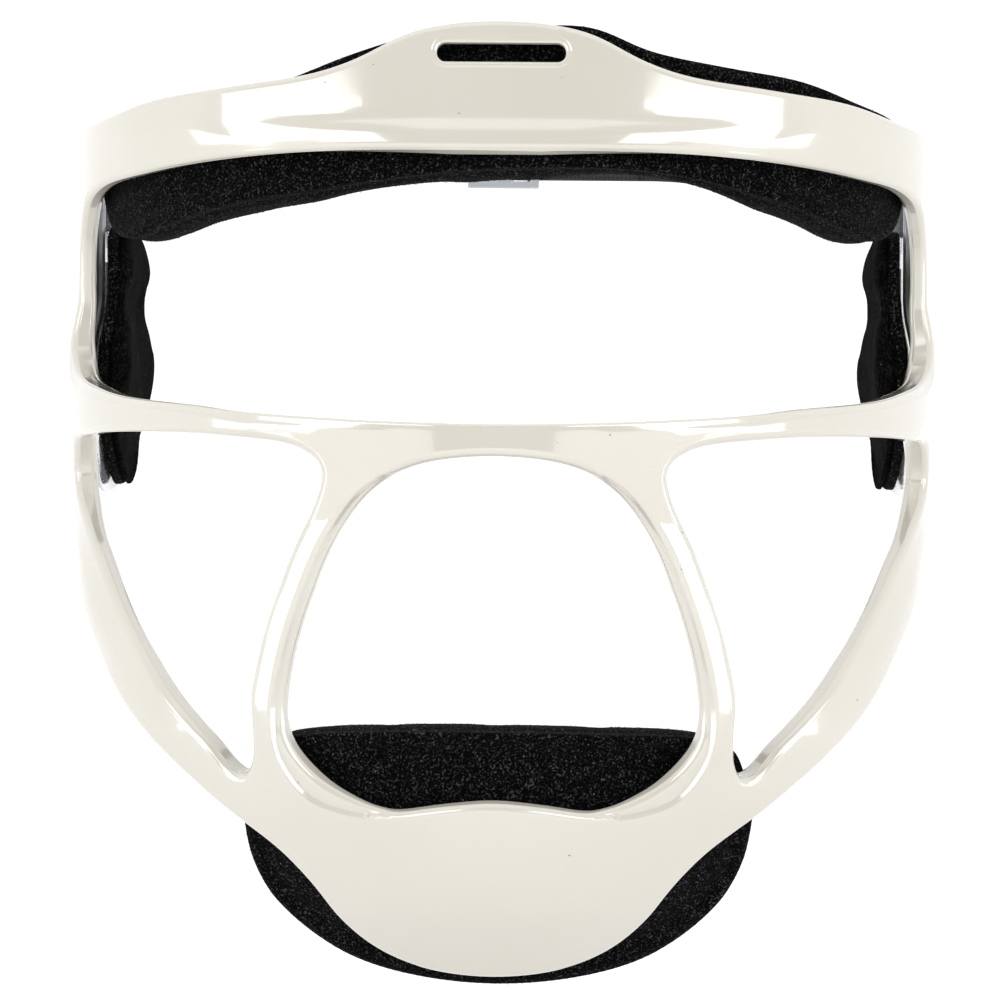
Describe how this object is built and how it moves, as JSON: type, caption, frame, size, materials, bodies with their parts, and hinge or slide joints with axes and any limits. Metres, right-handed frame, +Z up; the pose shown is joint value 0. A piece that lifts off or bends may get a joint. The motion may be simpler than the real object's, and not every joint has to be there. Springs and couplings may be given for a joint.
{
  "type": "fielder's face mask",
  "caption": "Open moulded face guard with a forehead band, eye bar, guard bars and chin plate, two side plates inside it, pads and an elastic rear harness.",
  "frame": {"origin": "middle of the wearer's head, halfway between the temple pads", "axes": "+X towards the mask's side on the right in front view, -Y the way the wearer looks, +Z up"},
  "size_m": [0.1998, 0.2304, 0.2138],
  "materials": {
    "cream_plastic": "glossy moulded warm white",
    "white_plastic": "glossy cool white",
    "loop_fabric": "brushed loop fabric",
    "pad_foam": "knit-faced foam",
    "hook_tape": "hook tape",
    "elastic_webbing": "ribbed elastic webbing"
  },
  "bodies": {
    "mask": {"face_frame": "cream_plastic", "left_side_plate": "white_plastic", "right_side_plate": "white_plastic", "forehead_hook_centre": "hook_tape", "forehead_hook_left": "hook_tape", "forehead_hook_right": "hook_tape", "temple_hook_left": "hook_tape", "temple_hook_right": "hook_tape", "chin_hook_left": "hook_tape", "chin_hook_right": "hook_tape", "forehead_pad_backing": "loop_fabric", "forehead_pad_foam": "pad_foam", "chin_pad_backing": "loop_fabric", "chin_pad_foam": "pad_foam", "temple_pad_backing_left": "loop_fabric", "temple_pad_foam_left": "pad_foam", "temple_pad_backing_right": "loop_fabric", "temple_pad_foam_right": "pad_foam"},
    "harness": {"left_strap": "elastic_webbing", "right_strap": "elastic_webbing"},
    "adjuster": {"rear_adjuster": "white_plastic"}
  },
  "joints": [
    {"name": "harness_swing", "type": "hinge", "parent": "mask", "child": "harness", "pos_m": [0, 0.018, 0.0375], "axis": [1, 0, 0], "range_deg": [-9, 9]},
    {"name": "adjuster_slide", "type": "slide", "parent": "harness", "child": "adjuster", "axis": [1, 0, 0], "range_m": [-0.012, 0.012]}
  ]
}
